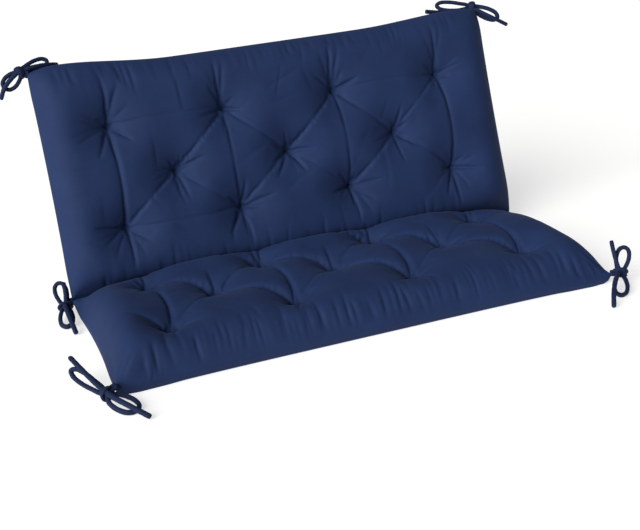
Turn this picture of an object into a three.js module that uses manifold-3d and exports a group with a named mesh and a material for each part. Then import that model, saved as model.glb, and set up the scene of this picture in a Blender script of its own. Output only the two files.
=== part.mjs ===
import * as THREE from "three";
import Module from "manifold-3d";

// Two-panel tufted bench cushion, seat and back in one sewn cover, with bows of cover cloth at its corners.
// Millimetres, +Z up. The seat lies flat with its front toward -Y, and the back leans toward +Y.

// Driving dimensions
const width = 1200; // seam to seam across the bench
const seamHeight = 28; // side seam of the seat above the surface it lies on
const lean = THREE.MathUtils.degToRad(19.7); // back panel from the vertical
const seamThick = 3; // two covers sewn flat at the fold between seat and back
const foldPress = 0.96; // share of the half angle each panel fills where they press together in the fold
const tuftPitch = 294; // tuft to tuft along a row
const cellSize = 24.5; // spacing of the drawn points between tufts
const edgeSteps = [0, 4, 14, 32, 56]; // distances from a side seam where points are drawn
const foldSteps = [0, 16, 34, 54, 78]; // the same beside the fold
const puckerWave = tuftPitch / 4; // gathers of the cover along the free edges
const puckerDeep = 3;
const tieThick = 10; // a tie of cover cloth, sewn to a soft tube
const tieSides = 8;
const tieStep = 13; // spacing of the drawn sections along a tie
const knotWide = 24;
const rootGap = 0.75; // a tie starts this far from the corner it is sewn into
const foldRise = { at: 55, wide: 45 }; // where a panel is fullest beside the fold, and over what distance
const sideRise = { at: 75, wide: 55 }; // the same beside the side seams
// Each panel: its length, crown and rounds, how much fuller it is beside the fold and the sides, its tufts,
// how far its seams are drawn in or sink, its fuller shoulders left and right, and how the filling thins left
// and right where the fold meets the side seams
const seat = {
  length: 490, crown: 62, under: seamHeight, edgeRound: 74, endRound: 118, underRound: 36,
  foldFuller: 16, sideFuller: 12, tuftTop: 34, tuftWide: 108, tuftUnder: 20, tuftUnderWide: 55,
  sideDraw: 10, endDraw: 10, seamDroop: 15, shoulders: [0, 0], rowsAt: [107, 222, 362],
  thinned: [{ share: 0.75, along: 110, across: 150 }, { share: 0.85, along: 150, across: 130 }],
};
const back = {
  length: 552, crown: 60, under: 38, edgeRound: 74, endRound: 74, underRound: 64,
  foldFuller: 0, sideFuller: 0, tuftTop: 24, tuftWide: 118, tuftUnder: 22, tuftUnderWide: 80,
  sideDraw: 4, endDraw: 10, seamDroop: 0, shoulders: [16, 11], rowsAt: [148, 267, 398],
  thinned: [{ share: 0.45, along: 55, across: 75 }, { share: 0.45, along: 55, across: 75 }],
};
const rowCounts = [4, 3, 4]; // tufts in each row, out from the fold
// Folds of the cover: the tuft each starts from as row and column, the tuft it runs to, or else the way it
// runs on its own as distances across and along, then how deep and how wide it is
const folds = [
  { from: [0, 0], to: [2, 0], deep: 13, wide: 20 },
  { from: [0, 3], to: [2, 3], deep: 13, wide: 20 },
  { from: [0, 1], to: [2, 1], deep: 7, wide: 20 },
  { from: [0, 2], to: [2, 2], deep: 7, wide: 20 },
  { from: [0, 0], to: [1, 0], deep: 11, wide: 18 },
  { from: [1, 0], to: [2, 1], deep: 11, wide: 18 },
  { from: [0, 1], to: [1, 1], deep: 11, wide: 18 },
  { from: [1, 1], to: [2, 2], deep: 11, wide: 18 },
  { from: [0, 2], to: [1, 2], deep: 11, wide: 18 },
  { from: [1, 2], to: [2, 3], deep: 9, wide: 18 },
  { from: [0, 1], to: [1, 0], deep: 7, wide: 18 },
  { from: [0, 2], to: [1, 1], deep: 7, wide: 18 },
  { from: [0, 3], to: [1, 2], deep: 8, wide: 18 },
  { from: [2, 0], runs: [-18, 90], deep: 10, wide: 18 },
  { from: [2, 1], runs: [14, 90], deep: 9, wide: 18 },
  { from: [2, 2], runs: [-14, 90], deep: 9, wide: 18 },
  { from: [2, 3], runs: [18, 90], deep: 10, wide: 18 },
  { from: [0, 0], runs: [8, -70], deep: 8, wide: 18 },
  { from: [0, 1], runs: [-10, -70], deep: 7, wide: 18 },
  { from: [0, 2], runs: [10, -70], deep: 7, wide: 18 },
  { from: [0, 3], runs: [-8, -70], deep: 8, wide: 18 },
];
// Ties: the corner each is sewn into, where its knot stands from that corner, and for each of its two strands
// the far point of the loop, the loop's width, the way it faces, the free end and how far that bows sideways
const outward = [-0.31, -0.87, 0.38];
const upward = [0, 0, 1];
const ties = [
  { name: "tie_top_left", side: -1, at: "top", knot: [-13, 8, 7], strands: [
    { loop: [-56, 9, -26], wide: 32, faces: outward, end: [-69, 4, -50], bow: 0.3 },
    { loop: [55, 38, 22], wide: 24, faces: outward, end: [79, 40, 12], bow: -0.2 } ] },
  { name: "tie_top_right", side: 1, at: "top", knot: [8, 11, 10], strands: [
    { loop: [-91, 46, 21], wide: 22, faces: outward, end: [-121, 52, 9], bow: -0.3 },
    { loop: [57, -26, -21], wide: 26, faces: outward, end: [78, -40, -42], bow: 0.2 } ] },
  { name: "tie_fold_left", side: -1, at: "fold", knot: [-18, -1, -9], strands: [
    { loop: [-24, 24, 42], wide: 28, faces: outward, end: [-12, 24, 40], bow: 0.4 },
    { loop: [-33, -96, -22], wide: 30, faces: upward, end: [-22, -142, -22], bow: 0.2 } ] },
  { name: "tie_front_left", side: -1, at: "front", knot: [-22, -5, -9], strands: [
    { loop: [-74, 92, 12], wide: 22, faces: outward, end: [-68, 124, 27], bow: 0.5 },
    { loop: [26, -84, -22], wide: 38, faces: upward, end: [42, -122, -22], bow: 0.3 } ] },
  { name: "tie_front_right", side: 1, at: "front", knot: [18, -8, -2], strands: [
    { loop: [40, 10, 53], wide: 30, faces: outward, end: [13, 24, 69], bow: -0.3 },
    { loop: [-26, -82, -22], wide: 30, faces: upward, end: [-76, -124, -22], bow: 0.3 } ] },
];

// Quarter round: rises from 0 at the seam to 1 at the given distance
function rounded(distance, reach) {
  const short = 1 - Math.min(1, Math.max(0, distance) / reach);
  return Math.sqrt(1 - short * short);
}

// Middle of each tuft of a panel, as distance across from the middle and along from the fold
function tuftAt(panel, row, column) {
  return [(column - (rowCounts[row] - 1) / 2) * tuftPitch, panel.rowsAt[row]];
}

function tuftsOf(panel) {
  const rowOf = (count, row) => Array.from({ length: count }, (_, column) => tuftAt(panel, row, column));
  return rowCounts.flatMap(rowOf);
}

// Distance from a fold's line and the share of the way along it
function fromLine(across, along, start, stop) {
  const dx = stop[0] - start[0];
  const dy = stop[1] - start[1];
  const run = ((across - start[0]) * dx + (along - start[1]) * dy) / (dx * dx + dy * dy);
  const share = THREE.MathUtils.clamp(run, 0, 1);
  return [Math.hypot(across - start[0] - share * dx, along - start[1] - share * dy), share];
}

// Bell curve: 1 at the middle of a rise, falling away over its width
function bell(distance, rise) {
  return Math.exp(-(((distance - rise.at) / rise.wide) ** 2));
}

// Height of the face one sits on above the seam plane: crown, pressed fold, tufts, folds and gathers
function topHeight(panel, across, along) {
  const sideIn = width / 2 - Math.abs(across);
  const endIn = panel.length - along;
  const fuller = panel.foldFuller * bell(along, foldRise) + panel.sideFuller * bell(sideIn, sideRise);
  let base = (panel.crown + fuller) * rounded(sideIn, panel.edgeRound) * rounded(endIn, panel.endRound);
  const press = Math.tan((Math.PI / 2 + lean) / 2) * along * foldPress;
  if (base > 0) base = press * base / Math.pow(press ** 4 + base ** 4, 0.25);
  const thin = panel.thinned[across < 0 ? 0 : 1];
  base *= 1 - thin.share * Math.exp(-((along / thin.along) ** 2) - (sideIn / thin.across) ** 2);
  const low = Math.min(base, panel.tuftTop);
  let share = 1;
  for (const [x, y] of tuftsOf(panel)) {
    share *= 1 - Math.max(0, 1 - Math.hypot(across - x, along - y) / panel.tuftWide) ** 2;
  }
  let height = low + (base - low) * share;
  for (const fold of folds) {
    const start = tuftAt(panel, ...fold.from);
    const stop = fold.to ? tuftAt(panel, ...fold.to) : start.map((value, k) => value + fold.runs[k]);
    const [off, part] = fromLine(across, along, start, stop);
    const kept = fold.to ? 0.4 + 0.6 * Math.abs(2 * part - 1) : 1 - 0.6 * part;
    height -= fold.deep * Math.exp(-off / fold.wide) * kept * share;
  }
  const gathered = Math.exp(-(((endIn - 45) / 35) ** 2)) * rounded(sideIn, 120);
  height += puckerDeep * gathered * Math.cos(2 * Math.PI * across / puckerWave);
  return Math.max(height, Math.min(base, 4));
}

// Depth of the other face below the seam plane: level over most of the panel, drawn up at the tufts
function underDepth(panel, across, along) {
  const nearest = Math.min(width / 2 - Math.abs(across), panel.length - along, along);
  let depth = panel.under * rounded(nearest, panel.underRound);
  for (const [x, y] of tuftsOf(panel)) {
    const near = Math.max(0, 1 - Math.hypot(across - x, along - y) / panel.tuftUnderWide);
    depth -= panel.tuftUnder * near * near;
  }
  return depth;
}

// Place of a point of a panel: sides and ends drawn in between the corners, full shoulders beside the rounded
// corners of the back, and the loose seam of the seat sinking
function place(panel, across, along, height) {
  const sideNear = Math.abs(across) / (width / 2);
  const endNear = along / panel.length;
  const midway = 4 * endNear * (1 - endNear);
  const drawnAcross = across - Math.sign(across) * panel.sideDraw * midway * sideNear ** 4;
  const shoulder = THREE.MathUtils.smoothstep(sideNear, 0.42, 0.87) * (1 - sideNear ** 16);
  const lift = panel.shoulders[across < 0 ? 0 : 1] * shoulder;
  const drawnAlong = along + (lift - panel.endDraw * (1 - sideNear ** 4)) * endNear ** 6;
  const nearEdge = Math.max(0, 1 - Math.min(width / 2 - Math.abs(across), panel.length - along) / 60);
  const betweenCorners = (1 - (sideNear * endNear) ** 24) * Math.min(1, along / 60);
  const lifted = height - panel.seamDroop * nearEdge ** 2 * betweenCorners;
  if (panel === seat) return [drawnAcross, -drawnAlong, Math.max(0, seamHeight + lifted)];
  const y = drawnAlong * Math.sin(lean) - lifted * Math.cos(lean);
  return [drawnAcross, y, seamHeight + drawnAlong * Math.cos(lean) + lifted * Math.sin(lean)];
}

// Evenly spaced values from one stop to the next, the last left out
function between(start, stop) {
  const cells = Math.max(1, Math.round(Math.abs(stop - start) / cellSize));
  return Array.from({ length: cells }, (_, i) => start + (stop - start) * i / cells);
}

function acrossLines() {
  const margin = edgeSteps[edgeSteps.length - 1];
  const columns = [-1.5, -1, -0.5, 0, 0.5, 1, 1.5].map((k) => k * tuftPitch);
  const stops = [margin - width / 2, ...columns, width / 2 - margin];
  const inner = stops.slice(1).flatMap((stop, i) => between(stops[i], stop));
  const ends = edgeSteps.map((step) => width / 2 - step);
  return [...ends.slice(0, -1).map((x) => -x), ...inner, ...[...ends].reverse()];
}

function alongLines(panel) {
  const margin = edgeSteps[edgeSteps.length - 1];
  const fold = foldSteps[foldSteps.length - 1];
  const stops = [fold, ...panel.rowsAt, panel.length - margin];
  const inner = stops.slice(1).flatMap((stop, i) => between(stops[i], stop));
  const free = [...edgeSteps].reverse().map((step) => panel.length - step);
  return [...foldSteps.slice(0, -1), ...inner, ...free];
}

// One filled solid: both faces share the points of the side seam
function cushionGeometry() {
  const columns = acrossLines();
  const seatRows = alongLines(seat).slice(1).reverse().map((along) => [seat, along]);
  const rows = [...seatRows, [seat, 0], ...alongLines(back).slice(1).map((along) => [back, along])];
  const bisector = [0, -Math.sin(Math.PI / 4 - lean / 2), Math.cos(Math.PI / 4 - lean / 2)];
  const points = [];
  const pointAt = (panel, across, along, up) => {
    const apart = up * seamThick / 2;
    if (along === 0) return [across, bisector[1] * apart, seamHeight + bisector[2] * apart];
    const height = up > 0 ? topHeight(panel, across, along) : -underDepth(panel, across, along);
    return place(panel, across, along, height);
  };
  const top = rows.map(([panel, along]) => (
    columns.map((across) => points.push(pointAt(panel, across, along, 1)) - 1)
  ));
  const under = rows.map(([panel, along], j) => columns.map((across, i) => {
    const onSeam = i === 0 || j === 0 || i === columns.length - 1 || j === rows.length - 1;
    return onSeam ? top[j][i] : points.push(pointAt(panel, across, along, -1)) - 1;
  }));
  const faces = [];
  for (let j = 0; j + 1 < rows.length; j++) {
    for (let i = 0; i + 1 < columns.length; i++) {
      const flip = (i + j) % 2 === 0;
      const [a, b, c, d] = [top[j][i], top[j][i + 1], top[j + 1][i + 1], top[j + 1][i]];
      faces.push(...(flip ? [a, b, c, a, c, d] : [a, b, d, b, c, d]));
      const [e, f, g, h] = [under[j][i], under[j][i + 1], under[j + 1][i + 1], under[j + 1][i]];
      faces.push(...(flip ? [e, g, f, e, h, g] : [e, h, f, f, h, g]));
    }
  }
  const geometry = new THREE.BufferGeometry();
  geometry.setAttribute("position", new THREE.Float32BufferAttribute(points.flat(), 3));
  geometry.setIndex(faces);
  return geometry;
}

const wasm = await Module();
wasm.setup();

// Closed solid from a geometry, its doubled points joined
function solidOf(geometry) {
  const place = geometry.getAttribute("position");
  const unshared = () => Array.from({ length: place.count }, (_, i) => i);
  const source = geometry.index ? Array.from(geometry.index.array) : unshared();
  const known = new Map();
  const points = [];
  const faces = source.map((i) => {
    const spot = [place.getX(i), place.getY(i), place.getZ(i)];
    const key = spot.map((value) => Math.round(value * 1000)).join(" ");
    if (!known.has(key)) {
      known.set(key, known.size);
      points.push(...spot);
    }
    return known.get(key);
  });
  const kept = [];
  for (let i = 0; i < faces.length; i += 3) {
    const [a, b, c] = faces.slice(i, i + 3);
    if (a !== b && b !== c && c !== a) kept.push(a, b, c);
  }
  const meshOf = (order) => new wasm.Mesh({
    numProp: 3, vertProperties: new Float32Array(points), triVerts: new Uint32Array(order),
  });
  const solid = new wasm.Manifold(meshOf(kept));
  return solid.volume() > 0 ? solid : new wasm.Manifold(meshOf(kept.reverse()));
}

function geometryOf(solid) {
  const mesh = solid.getMesh();
  const geometry = new THREE.BufferGeometry();
  geometry.setAttribute("position", new THREE.Float32BufferAttribute(mesh.vertProperties, 3));
  geometry.setIndex(Array.from(mesh.triVerts));
  return geometry;
}

// Corner of the cover that a tie is sewn into
function cornerOf(tie) {
  if (tie.at === "fold") return new THREE.Vector3(tie.side * width / 2, 0, seamHeight);
  const panel = tie.at === "top" ? back : seat;
  return new THREE.Vector3(...place(panel, tie.side * width / 2, panel.length, 0));
}

// Middle lines of a tie: its root from the corner to the knot, and for each strand the loop and the free tail
function tieLines(tie) {
  const corner = cornerOf(tie);
  const vector = (values) => new THREE.Vector3(...values);
  const knot = vector(tie.knot);
  const lines = [[knot.clone().setLength(rootGap), knot.clone()]];
  for (const strand of tie.strands) {
    const reach = vector(strand.loop).sub(knot);
    const sideways = reach.clone().cross(vector(strand.faces)).normalize().multiplyScalar(strand.wide / 2);
    const start = knotWide / strand.wide / 2;
    const onLoop = (share, spread) => (
      knot.clone().addScaledVector(reach, share).addScaledVector(sideways, spread)
    );
    lines.push([
      onLoop(0.05, start), onLoop(0.3, 0.75), onLoop(0.65, 1), onLoop(0.92, 0.7), onLoop(1, 0),
      onLoop(0.9, -0.7), onLoop(0.62, -1), onLoop(0.28, -0.75), onLoop(0.05, -start),
    ]);
    const tail = vector(strand.end).sub(knot);
    const bowed = sideways.clone().multiplyScalar(strand.bow);
    lines.push([
      knot.clone(), knot.clone().addScaledVector(tail, 0.35).add(bowed),
      knot.clone().addScaledVector(tail, 0.7).add(bowed), vector(strand.end),
    ]);
  }
  return lines.map((spots) => new THREE.CatmullRomCurve3(spots.map((spot) => spot.add(corner))));
}

// A tie tied in a bow: root, loops, tails and knot in one solid
function tieGeometry(tie) {
  const round = new THREE.Shape(Array.from({ length: tieSides }, (_, i) => {
    const turn = 2 * Math.PI * (i + 0.3) / tieSides;
    return new THREE.Vector2(Math.cos(turn), Math.sin(turn)).multiplyScalar(tieThick / 2);
  }));
  const knot = new THREE.SphereGeometry(knotWide / 2, 12, 9);
  knot.scale(1.08, 0.96, 0.94);
  knot.translate(...new THREE.Vector3(...tie.knot).add(cornerOf(tie)).toArray());
  let solid = solidOf(knot);
  for (const line of tieLines(tie)) {
    const step = line.points.length > 4 ? tieStep : 2 * tieStep;
    const steps = Math.max(2, Math.round(line.getLength() / step));
    const tube = new THREE.ExtrudeGeometry(round, { extrudePath: line, steps, bevelEnabled: false });
    solid = solid.add(solidOf(tube));
  }
  // Small hollows shut in between the strands at the knot are filled: only the outer shell is kept
  const shells = solid.simplify(0.1).decompose().sort((a, b) => b.volume() - a.volume());
  return geometryOf(shells[0]);
}

const part = new THREE.Group();
part.name = "bench_cushion";
function addPiece(name, geometry) {
  const mesh = new THREE.Mesh(geometry, new THREE.MeshStandardMaterial({ color: 0x1f2a55, roughness: 0.7 }));
  mesh.name = name;
  part.add(mesh);
}
addPiece("cushion", cushionGeometry());
for (const tie of ties) addPiece(tie.name, tieGeometry(tie));

// The origin lies on the resting plane, under the middle of the cushion's own box
const box = new THREE.Box3().setFromObject(part.getObjectByName("cushion"));
part.position.y = -(box.min.y + box.max.y) / 2;

export default part;
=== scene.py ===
import math

import bpy
import numpy as np
from mathutils import Matrix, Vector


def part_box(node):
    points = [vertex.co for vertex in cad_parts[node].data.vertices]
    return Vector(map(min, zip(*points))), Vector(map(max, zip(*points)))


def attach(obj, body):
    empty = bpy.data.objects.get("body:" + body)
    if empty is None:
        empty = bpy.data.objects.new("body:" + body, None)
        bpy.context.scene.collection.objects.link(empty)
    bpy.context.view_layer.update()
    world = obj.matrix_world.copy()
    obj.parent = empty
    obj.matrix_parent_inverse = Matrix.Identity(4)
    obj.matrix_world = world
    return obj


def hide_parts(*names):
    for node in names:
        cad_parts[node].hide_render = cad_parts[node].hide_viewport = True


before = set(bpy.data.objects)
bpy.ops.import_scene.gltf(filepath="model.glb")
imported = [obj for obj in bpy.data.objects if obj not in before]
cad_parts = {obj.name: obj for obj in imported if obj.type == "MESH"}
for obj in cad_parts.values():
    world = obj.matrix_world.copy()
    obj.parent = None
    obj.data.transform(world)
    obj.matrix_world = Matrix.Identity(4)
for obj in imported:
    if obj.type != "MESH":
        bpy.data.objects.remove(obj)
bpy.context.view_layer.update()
print("frame:", ", ".join(sorted(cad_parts)))


# The fold seam between seat and back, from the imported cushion: the seat's front corners are its lowest Y
seatLength = 0.490
seamHeight = 0.028
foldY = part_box("cushion")[0][1] + seatLength
foldLine = np.array([0.0, foldY, seamHeight])


# Camera at the photograph's place, a long lens held slightly tilted
photoView = {
    "azimuth": -19.7,
    "elevation": 22.4,
    "tilt": -4.0,
    "distance": 3.138,
    "lens": 67.89,
    "sensor": 36,  # mm wide
    "aim": (0.042, 0.0, -0.041),  # from the middle of the fold seam
}


# Place of a camera or light: its z axis is away, its x axis level, both then turned by roll about away
def lookFrom(away, place, roll=0.0):
    right = np.cross([0, 0, 1], away)
    right /= np.linalg.norm(right)
    up = np.cross(away, right)
    right, up = math.cos(roll) * right + math.sin(roll) * up, math.cos(roll) * up - math.sin(roll) * right
    axes = np.column_stack([right, up, away, place])
    return Matrix([list(row) for row in axes] + [[0, 0, 0, 1]])


# Spherical place around the aim point: azimuth from the front, elevation above the floor
def placeCamera(view):
    az, el, roll = (math.radians(view[k]) for k in ("azimuth", "elevation", "tilt"))
    away = np.array([math.sin(az) * math.cos(el), -math.cos(az) * math.cos(el), math.sin(el)])
    camera = bpy.data.objects.new("camera", bpy.data.cameras.new("camera"))
    camera.data.lens = view["lens"]
    camera.data.sensor_width = view["sensor"]
    camera.data.sensor_fit = "HORIZONTAL"
    camera.matrix_world = lookFrom(away, foldLine + view["aim"] + away * view["distance"], roll)
    bpy.context.collection.objects.link(camera)
    bpy.context.scene.camera = camera


placeCamera(photoView)
bpy.context.scene.view_settings.view_transform = "Standard"
print("camera placed")


# sRGB hex to linear: each channel c becomes ((c + 0.055) / 1.055) ** 2.4, or c / 12.92 in the darkest part
def linearColour(hexText):
    c = np.array([int(hexText[k:k + 2], 16) for k in (1, 3, 5)]) / 255
    return tuple(np.where(c > 0.04045, ((c + 0.055) / 1.055) ** 2.4, c / 12.92)) + (1.0,)


# One node with its settings and its inputs; an input is a value or another node's output
def addNode(tree, kind, settings=None, **inputs):
    node = tree.nodes.new(kind)
    for key, value in (settings or {}).items():
        setattr(node, key, value)
    for key, value in inputs.items():
        socket = node.inputs[int(key[1:])] if key[0] == "_" else node.inputs[key.replace("_", " ")]
        if isinstance(value, bpy.types.NodeSocket):
            tree.links.new(value, socket)
        else:
            socket.default_value = value
    return node


# Plain woven polyester, piece dyed navy: a close matt weave with a faint sheen on the turns of its folds
coverCloth = {
    "deep": "#122041",
    "light": "#17284b",
    "shades": (0.30, 0.72),  # where the deep colour ends and the light one starts
    "blotches": 9.0,  # a metre, so about 110 mm apart
    "slubs": (60.0, 900.0, 1.0),  # a metre, so 17 mm long and 1.1 mm thick
    "slubShare": 0.35,
    "roughness": 0.75,
    "ior": 1.5,
    "specular": 0.16,
    "sheen": 0.06,
    "sheenRoughness": 0.45,
    "sheenTint": "#8fa3d8",
    "threadGap": 1.6,  # mm; the real 0.5 mm weave is too fine to show, so it is drawn coarser
    "threadBump": 0.10,
    "threadDepth": 0.0004,
    "crinkleGap": 16.0,  # mm, small handling creases
    "crinkleBump": 0.10,
    "crinkleDepth": 0.004,
}
# The ties are the same cloth sewn to narrow tubes; their whole colour is darkened as painted shade for the
# shade between their close puckers
tieCloth = dict(coverCloth, crinkleGap=6.0, crinkleBump=0.25)
tiePaintedShade = 0.6


# Slow blotches mixed with slubs run the colour from deep to light; two crossed waves multiplied are the
# weave's relief, and noise on top of them the small creases
def wovenCloth(name, cloth, paintedShade=1.0):
    material = bpy.data.materials.new(name)
    material.use_nodes = True
    tree = material.node_tree
    tree.nodes.clear()
    spot = addNode(tree, "ShaderNodeUVMap", {"uv_map": "cloth"}).outputs["UV"]  # metres along the cut cloth
    blotch = addNode(tree, "ShaderNodeTexNoise", Vector=spot, Scale=cloth["blotches"],
                     Detail=3.0, Roughness=0.6)
    slub = addNode(tree, "ShaderNodeMapping", Vector=spot, Scale=cloth["slubs"])
    slubNoise = addNode(tree, "ShaderNodeTexNoise", Vector=slub.outputs["Vector"], Scale=1.0, Detail=1.0)
    mixed = addNode(tree, "ShaderNodeMix", {"data_type": "FLOAT"}, _0=cloth["slubShare"],
                    _2=blotch.outputs["Fac"], _3=slubNoise.outputs["Fac"])
    ramp = addNode(tree, "ShaderNodeValToRGB", Fac=mixed.outputs[0])
    # A factor below 1, as on the ties, darkens both colours evenly as painted shade
    for k, key in enumerate(("deep", "light")):
        stop = ramp.color_ramp.elements[k]
        stop.position = cloth["shades"][k]
        stop.color = tuple(paintedShade * v for v in linearColour(cloth[key])[:3]) + (1.0,)
    turns = 2 * math.pi / (cloth["threadGap"] * 1e-3) / 20  # the node's wave is a sine of 20 * scale * place
    warp = addNode(tree, "ShaderNodeTexWave", {"bands_direction": "X"}, Vector=spot, Scale=turns)
    weft = addNode(tree, "ShaderNodeTexWave", {"bands_direction": "Y"}, Vector=spot, Scale=turns)
    weave = addNode(tree, "ShaderNodeMath", {"operation": "MULTIPLY"},
                    _0=warp.outputs["Fac"], _1=weft.outputs["Fac"])
    threads = addNode(tree, "ShaderNodeBump", Strength=cloth["threadBump"], Distance=cloth["threadDepth"],
                      Height=weave.outputs["Value"])
    crinkle = addNode(tree, "ShaderNodeTexNoise", Vector=spot,
                      Scale=1000 / cloth["crinkleGap"] / 2, Detail=3.0)
    relief = addNode(tree, "ShaderNodeBump", Strength=cloth["crinkleBump"], Distance=cloth["crinkleDepth"],
                     Height=crinkle.outputs["Fac"], Normal=threads.outputs["Normal"])
    shader = addNode(tree, "ShaderNodeBsdfPrincipled", Base_Color=ramp.outputs["Color"],
                     Roughness=cloth["roughness"], Normal=relief.outputs["Normal"], IOR=cloth["ior"],
                     Specular_IOR_Level=cloth["specular"], Sheen_Weight=cloth["sheen"],
                     Sheen_Roughness=cloth["sheenRoughness"], Sheen_Tint=linearColour(cloth["sheenTint"]))
    addNode(tree, "ShaderNodeOutputMaterial", Surface=shader.outputs["BSDF"])
    return material


coverMaterial = wovenCloth("wovenPolyesterNavy", coverCloth)
tieMaterial = wovenCloth("wovenPolyesterNavyTie", tieCloth, tiePaintedShade)
print("cloth mixed")


# Mesh object from points, faces and the flat cloth place of each point or face corner, sitting at the
# origin; edges between two points of the seam stay sharp
def meshPiece(name, points, faces, cloth, material, slot, seam=()):
    mesh = bpy.data.meshes.new(name)
    faces = faces if isinstance(faces, list) else faces.tolist()
    mesh.from_pydata(np.asarray(points, dtype=float).tolist(), [], faces)
    mesh.polygons.foreach_set("use_smooth", np.ones(len(mesh.polygons), dtype=bool))
    cloth = np.asarray(cloth, dtype=np.float32)
    if len(cloth) == len(points):
        corners = np.empty(len(mesh.loops), dtype=np.int32)
        mesh.loops.foreach_get("vertex_index", corners)
        cloth = cloth[corners]
    mesh.uv_layers.new(name="cloth").data.foreach_set("uv", cloth.ravel())
    mesh.update()
    if len(seam):
        ends = np.empty(len(mesh.edges) * 2, dtype=np.int32)
        mesh.edges.foreach_get("vertices", ends)
        mesh.edges.foreach_set("use_edge_sharp", np.isin(ends, seam).reshape(-1, 2).all(1))
    mesh.materials.append(material)
    piece = bpy.data.objects.new(name, mesh)
    bpy.context.collection.objects.link(piece)
    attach(piece, "root")
    return piece


# The cushion: sizes in metres, the large ones as in the part's source
cushionPad = {
    "width": 1.200,
    "lean": math.radians(19.7),
    "foldPress": 0.96,
    "tuftPitch": 0.294,
    "rowCounts": (4, 3, 4),
    "foldRise": (0.055, 0.045),  # where the crown is fullest beside the fold, and how wide that is
    "sideRise": (0.075, 0.055),
    "shoulderFrom": 0.42,  # share of the half width where the back's top starts to rise
    "shoulderOver": 0.45,
    "droopIn": 0.060,  # the seam's droop reaches this far in
    "cell": 0.00294,  # grid of the cover
    "foldBand": 0.050,
    "foldFiner": 0.6,  # cells in the band beside the fold are this much shorter
    "underSkip": 4,  # the plain underside keeps every fourth line of that grid
    "swell": 0.0055,  # the pad starts this much smaller, and swells as it settles
    "swellIn": 0.008,
    "creaseIn": 0.014,  # creases grow to full depth this far from a seam
    "fill": 0.75,
}
seatPanel = {
    "name": "seat", "seed": 11, "length": seatLength,
    "crown": 0.062, "rearPuff": 0.016, "sidePuff": 0.012, "under": seamHeight,
    "edgeRound": 0.074, "endRound": 0.118, "underRound": 0.036,
    "tuftTop": 0.034, "tuftWide": 0.108, "tuftUnder": 0.020, "tuftUnderWide": 0.055,
    "sideDraw": 0.010, "endDraw": 0.010, "seamDroop": 0.018, "cornerSag": 0.024,
    "shoulders": (0.0, 0.0), "rowsAt": (0.107, 0.222, 0.362),
    "thinned": ((0.75, 0.110, 0.150), (0.85, 0.150, 0.130)),
}
backPanel = {
    "name": "back", "seed": 23, "length": 0.552,
    "crown": 0.060, "rearPuff": 0.0, "sidePuff": 0.0, "under": 0.038,
    "edgeRound": 0.074, "endRound": 0.074, "underRound": 0.064,
    "tuftTop": 0.024, "tuftWide": 0.118, "tuftUnder": 0.022, "tuftUnderWide": 0.080,
    "sideDraw": 0.004, "endDraw": 0.010, "seamDroop": 0.0, "cornerSag": 0.0,
    "shoulders": (0.016, 0.011), "rowsAt": (0.148, 0.267, 0.398),
    "thinned": ((0.45, 0.055, 0.075), (0.45, 0.055, 0.075)),
}
mm = 1e-3  # the creases, laps and gathers below are in millimetres
# Creases from tuft to tuft: row and column of both ends, sideways bow, depth and width in mm, and the side
# that stands up beside the crease (1 right of its run, -1 left, 0 neither)
tuftCreases = {
    "seat": [
        ((0, 0), (2, 0), 16, 12, 6.5, 1), ((0, 1), (2, 1), 15, 12, 6.5, 1), ((0, 2), (2, 2), 14, 12, 6.5, 1),
        ((0, 3), (2, 3), 12, 12, 6.5, 1), ((0, 0), (1, 0), 6, 4, 6, 0), ((0, 1), (1, 0), -6, 5, 6, 0),
        ((1, 0), (2, 1), 12, 6, 6, -1), ((1, 0), (2, 0), 0, 3, 6, 0), ((1, 1), (2, 1), 0, 4, 6, 1),
        ((0, 1), (1, 1), 4, 4, 6, 0), ((0, 2), (1, 1), -6, 4, 6, 0), ((1, 1), (2, 2), 10, 6, 6, -1),
        ((1, 2), (2, 2), 0, 4, 6, 1), ((0, 2), (1, 2), 4, 5, 6, 0), ((0, 3), (1, 2), -4, 4, 6, 0),
        ((1, 2), (2, 3), 8, 5, 6, -1),
    ],
    "back": [
        ((2, 0), (0, 0), -5, 8, 5.5, -1), ((2, 3), (0, 3), -8, 7, 5.5, 1), ((2, 1), (0, 1), 6, 3.5, 6, 1),
        ((2, 2), (0, 2), -5, 3.5, 6, 1), ((2, 1), (1, 0), 0, 7, 5, -1), ((1, 0), (0, 0), 4, 5.5, 5.5, -1),
        ((2, 2), (1, 1), 0, 7, 5, -1), ((1, 1), (0, 1), 4, 5.5, 5.5, -1), ((1, 2), (0, 2), 0, 6, 5.5, -1),
        ((2, 3), (1, 2), 4, 3, 5.5, -1), ((2, 1), (1, 1), 4, 4, 4.5, 0), ((2, 2), (1, 2), 4, 4, 4.5, 0),
        ((1, 2), (0, 3), 0, 4, 5, 0), ((1, 0), (0, 1), 6, 2.5, 6, 0), ((1, 1), (0, 2), 0, 2, 6, 0),
        ((0, 0), (0, 1), 4, 1.8, 4.5, 0), ((2, 0), (2, 1), -6, 1.4, 4.5, 0),
        ((2, 2), (2, 3), -6, 1.2, 4.5, 0),
    ],
}
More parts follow.
